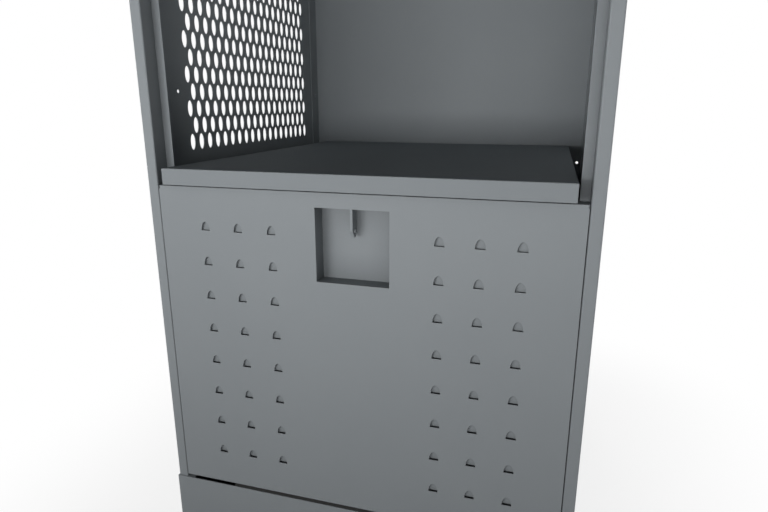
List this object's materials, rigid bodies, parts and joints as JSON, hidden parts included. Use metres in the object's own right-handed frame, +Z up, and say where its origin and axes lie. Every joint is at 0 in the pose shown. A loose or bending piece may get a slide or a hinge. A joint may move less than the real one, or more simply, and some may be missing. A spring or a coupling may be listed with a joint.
{
  "type": "gear locker",
  "caption": "Open-front steel gear locker: perforated sides, hat shelf, coat rod and hooks above a louvred foot locker with a hinged seat lid, hasp tongue and closed base.",
  "frame": {"origin": "on the floor, under the centre of the locker's box", "axes": "+Z up, +X to the right of a person facing the locker, the open front towards -Y"},
  "size_m": [0.6126, 0.6288, 1.8288],
  "materials": {
    "powder_coat": "satin grey powder coat with a fine orange peel",
    "zinc_steel": "zinc-plated steel",
    "bright_steel": "bright plated steel",
    "bumper_rubber": "matt black rubber",
    "cap_plastic": "matt black moulded plastic"
  },
  "bodies": {
    "cabinet": {"back_panel": "powder_coat", "base_bolts": "zinc_steel", "base_nuts": "zinc_steel", "coat_hooks": "bright_steel", "coat_rod": "bright_steel", "foot_locker_floor": "powder_coat", "front_header": "powder_coat", "front_panel": "powder_coat", "hanger_screws": "zinc_steel", "hat_shelf": "powder_coat", "hinge_pin": "zinc_steel", "hinge_rail": "powder_coat", "hinge_rail_leaf": "zinc_steel", "hook_screws": "zinc_steel", "kick_plate": "powder_coat", "left_base_rail": "powder_coat", "left_front_upright": "powder_coat", "left_side_panel": "powder_coat", "lid_bumpers": "bumper_rubber", "padlock_pocket": "powder_coat", "rail_hinge_rivets": "zinc_steel", "rear_base_rail": "powder_coat", "right_base_rail": "powder_coat", "right_front_upright": "powder_coat", "right_side_panel": "powder_coat", "rod_end_caps": "cap_plastic", "rod_hangers": "powder_coat", "shelf_clips": "powder_coat", "top_panel": "powder_coat"},
    "lid": {"hasp_tongue": "powder_coat", "hinge_lid_leaf": "zinc_steel", "left_lid_stiffener": "powder_coat", "lid_hinge_rivets": "zinc_steel", "right_lid_stiffener": "powder_coat", "seat_lid": "powder_coat"}
  },
  "joints": [
    {"name": "lid_hinge", "type": "hinge", "parent": "cabinet", "child": "lid", "pos_m": [0, 0.29825, 0.5973], "axis": [-1, 0, 0], "range_deg": [0, 90]}
  ]
}
